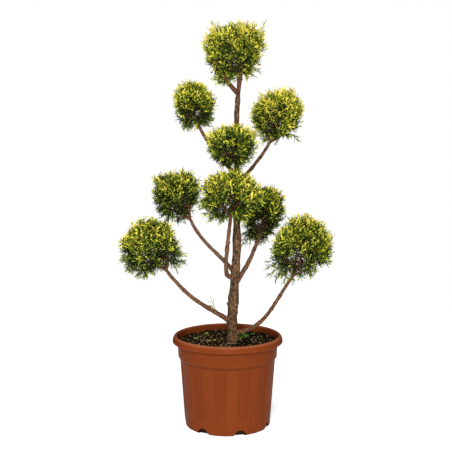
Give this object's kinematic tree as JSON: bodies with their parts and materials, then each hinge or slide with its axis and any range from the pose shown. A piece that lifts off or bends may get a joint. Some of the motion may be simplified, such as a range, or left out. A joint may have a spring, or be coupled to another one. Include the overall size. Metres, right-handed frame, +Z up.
{
  "type": "potted leyland cypress topiary",
  "caption": "Upright conifer topiary with clipped balls of golden foliage on curved bare boughs, growing in a round ribbed plastic nursery pot of compost.",
  "frame": {"origin": "centre of the pot's flat underside, on the ground", "axes": "+Z up along the trunk, -Y the front, +X to the right seen from the front"},
  "size_m": [0.5474, 0.3083, 1.0113],
  "materials": {
    "pot": "satin terracotta coloured moulded plastic",
    "soil": "dark moist bark compost with specks of moss",
    "trunk_bark": "rough olive brown bark",
    "bough_bark": "smoother reddish brown bark",
    "foliage": "scaly evergreen sprays, golden at the tips and green inside",
    "young_foliage": "pale green young sprays"
  },
  "bodies": {
    "root": {"pot": "pot", "soil": "soil", "trunk": "trunk_bark", "bough_lower_right": "bough_bark", "bough_lower_left": "bough_bark", "bough_middle_left": "bough_bark", "bough_middle_centre": "bough_bark", "bough_middle_right": "bough_bark", "bough_upper_right": "bough_bark", "bough_upper_left": "bough_bark", "bough_upper_centre": "bough_bark", "foliage_top": "foliage", "foliage_upper_left": "foliage", "foliage_upper_right": "foliage", "foliage_upper_centre": "foliage", "foliage_middle_left": "foliage", "foliage_middle_centre": "foliage", "foliage_middle_right": "foliage", "foliage_lower_left": "foliage", "foliage_lower_right": "foliage", "shoot_lower_left": "young_foliage"}
  },
  "joints": []
}
